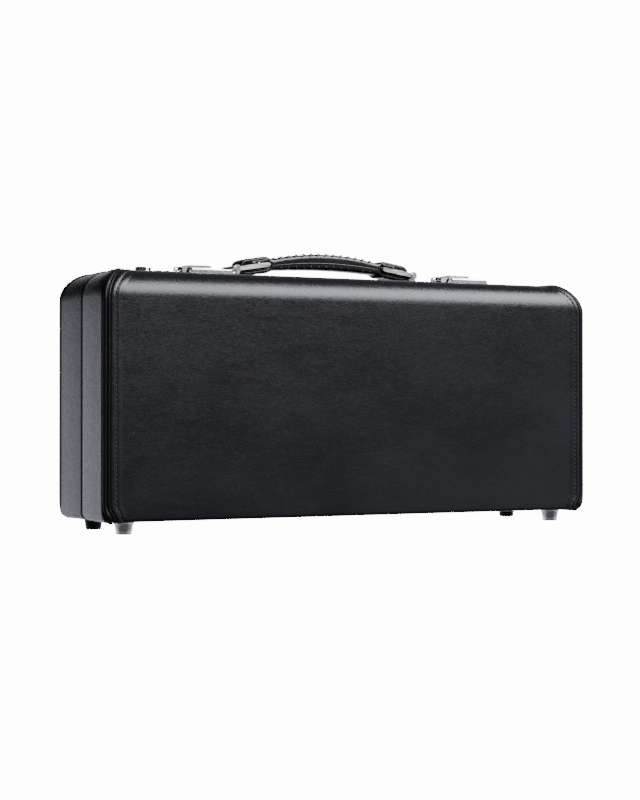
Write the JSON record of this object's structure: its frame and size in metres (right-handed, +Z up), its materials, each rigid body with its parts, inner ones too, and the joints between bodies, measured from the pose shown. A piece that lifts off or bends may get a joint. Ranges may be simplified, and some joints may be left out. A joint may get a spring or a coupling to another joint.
{
  "type": "clarinet case",
  "caption": "Upright leather-covered instrument case in two hinged halves, with top handle, latches, dial lock, feet and a plush tray of recesses.",
  "frame": {"origin": "on the ground under the middle of the standing case, at the centre of its bounding box", "axes": "+X along the case from the lock side, +Y from the front (lid) face to the back, +Z up"},
  "size_m": [0.37, 0.09, 0.1905],
  "materials": {
    "black_leather": "fine-grained black leather, semi-gloss",
    "plywood": "bare poplar plywood",
    "bright_nickel": "polished nickel plate",
    "brushed_nickel": "brushed nickel plate",
    "steel": "plain steel",
    "plush": "short-pile plush, midnight blue"
  },
  "bodies": {
    "base": {"base_shell": "plywood", "base_cover": "black_leather", "base_lining": "plush", "base_tray": "plush", "base_feet": "brushed_nickel", "base_foot_screws": "steel", "hinge_base_leaf": "brushed_nickel", "hinge_base_rivets": "brushed_nickel", "hinge_pin": "steel", "compartment_pin": "steel", "handle_bracket_left": "bright_nickel", "handle_bracket_right": "bright_nickel", "handle_pivots": "bright_nickel", "base_rivets": "bright_nickel", "latch_left_hasp_plate": "bright_nickel", "latch_left_hasp_pin": "steel", "latch_right_hasp_plate": "bright_nickel", "latch_right_hasp_pin": "steel"},
    "lid": {"lid_shell": "plywood", "lid_cover": "black_leather", "lid_lining": "plush", "lid_pad": "plush", "lid_feet": "brushed_nickel", "lid_foot_screws": "steel", "hinge_lid_leaf": "brushed_nickel", "hinge_lid_rivets": "brushed_nickel", "latch_left_box": "bright_nickel", "latch_left_spring": "steel", "latch_right_box": "bright_nickel", "latch_right_spring": "steel", "lock_body": "bright_nickel", "lock_shaft": "steel"},
    "left_slider": {"latch_left_slider": "bright_nickel"},
    "right_slider": {"latch_right_slider": "bright_nickel"},
    "left_hasp": {"latch_left_hasp": "bright_nickel"},
    "right_hasp": {"latch_right_hasp": "bright_nickel"},
    "handle": {"handle_grip": "black_leather", "handle_core": "steel"},
    "left_link": {"handle_link_left": "brushed_nickel"},
    "right_link": {"handle_link_right": "brushed_nickel"},
    "compartment_cover": {"compartment_lid": "plush", "compartment_tab": "black_leather"},
    "dial_1": {"lock_dial_1": "bright_nickel"},
    "dial_2": {"lock_dial_2": "bright_nickel"},
    "dial_3": {"lock_dial_3": "bright_nickel"},
    "lock_release": {"lock_button": "bright_nickel"}
  },
  "joints": [
    {"name": "lid_hinge", "type": "hinge", "parent": "base", "child": "lid", "pos_m": [0, -0.0025, 0.00715], "axis": [1, 0, 0], "range_deg": [0, 105]},
    {"name": "compartment_hinge", "type": "hinge", "parent": "base", "child": "compartment_cover", "pos_m": [-0.1226, 0.005, 0.15325], "axis": [-1, 0, 0], "range_deg": [0, 95]},
    {"name": "left_hasp_hinge", "type": "hinge", "parent": "base", "child": "left_hasp", "pos_m": [-0.1062, 0.0055, 0.1755], "axis": [-1, 0, 0], "range_deg": [0, 110]},
    {"name": "right_hasp_hinge", "type": "hinge", "parent": "base", "child": "right_hasp", "pos_m": [0.0963, 0.0055, 0.1755], "axis": [-1, 0, 0], "range_deg": [0, 110]},
    {"name": "left_slider_slide", "type": "slide", "parent": "lid", "child": "left_slider", "axis": [1, 0, 0], "range_m": [0, 0.003], "stiffness_N_per_m": 300, "deforming": ["latch_left_spring"]},
    {"name": "right_slider_slide", "type": "slide", "parent": "lid", "child": "right_slider", "axis": [1, 0, 0], "range_m": [0, 0.003], "stiffness_N_per_m": 300, "deforming": ["latch_right_spring"]},
    {"name": "handle_lift", "type": "slide", "parent": "base", "child": "handle", "axis": [0, 0, 1], "range_m": [0, 0.01]},
    {"name": "left_link_hinge", "type": "hinge", "parent": "base", "child": "left_link", "pos_m": [-0.07, 0.015, 0.1781], "axis": [0, -1, 0], "range_deg": [0, 25.7]},
    {"name": "right_link_hinge", "type": "hinge", "parent": "base", "child": "right_link", "pos_m": [0.07, 0.015, 0.1781], "axis": [0, 1, 0], "range_deg": [0, 25.7]},
    {"name": "dial_1_spin", "type": "hinge", "parent": "lid", "child": "dial_1", "pos_m": [-0.1348, -0.0107, 0.1701], "axis": [1, 0, 0], "continuous": true},
    {"name": "dial_2_spin", "type": "hinge", "parent": "lid", "child": "dial_2", "pos_m": [-0.1284, -0.0107, 0.1701], "axis": [1, 0, 0], "continuous": true},
    {"name": "dial_3_spin", "type": "hinge", "parent": "lid", "child": "dial_3", "pos_m": [-0.122, -0.0107, 0.1701], "axis": [1, 0, 0], "continuous": true},
    {"name": "lock_release_slide", "type": "slide", "parent": "lid", "child": "lock_release", "axis": [-1, 0, 0], "range_m": [0, 0.0025], "stiffness_N_per_m": 200}
  ],
  "couplings": [
    {"joint": "left_link_hinge", "follows": "handle_lift", "rad_per_m": 44.68},
    {"joint": "right_link_hinge", "follows": "handle_lift", "rad_per_m": 44.68}
  ]
}
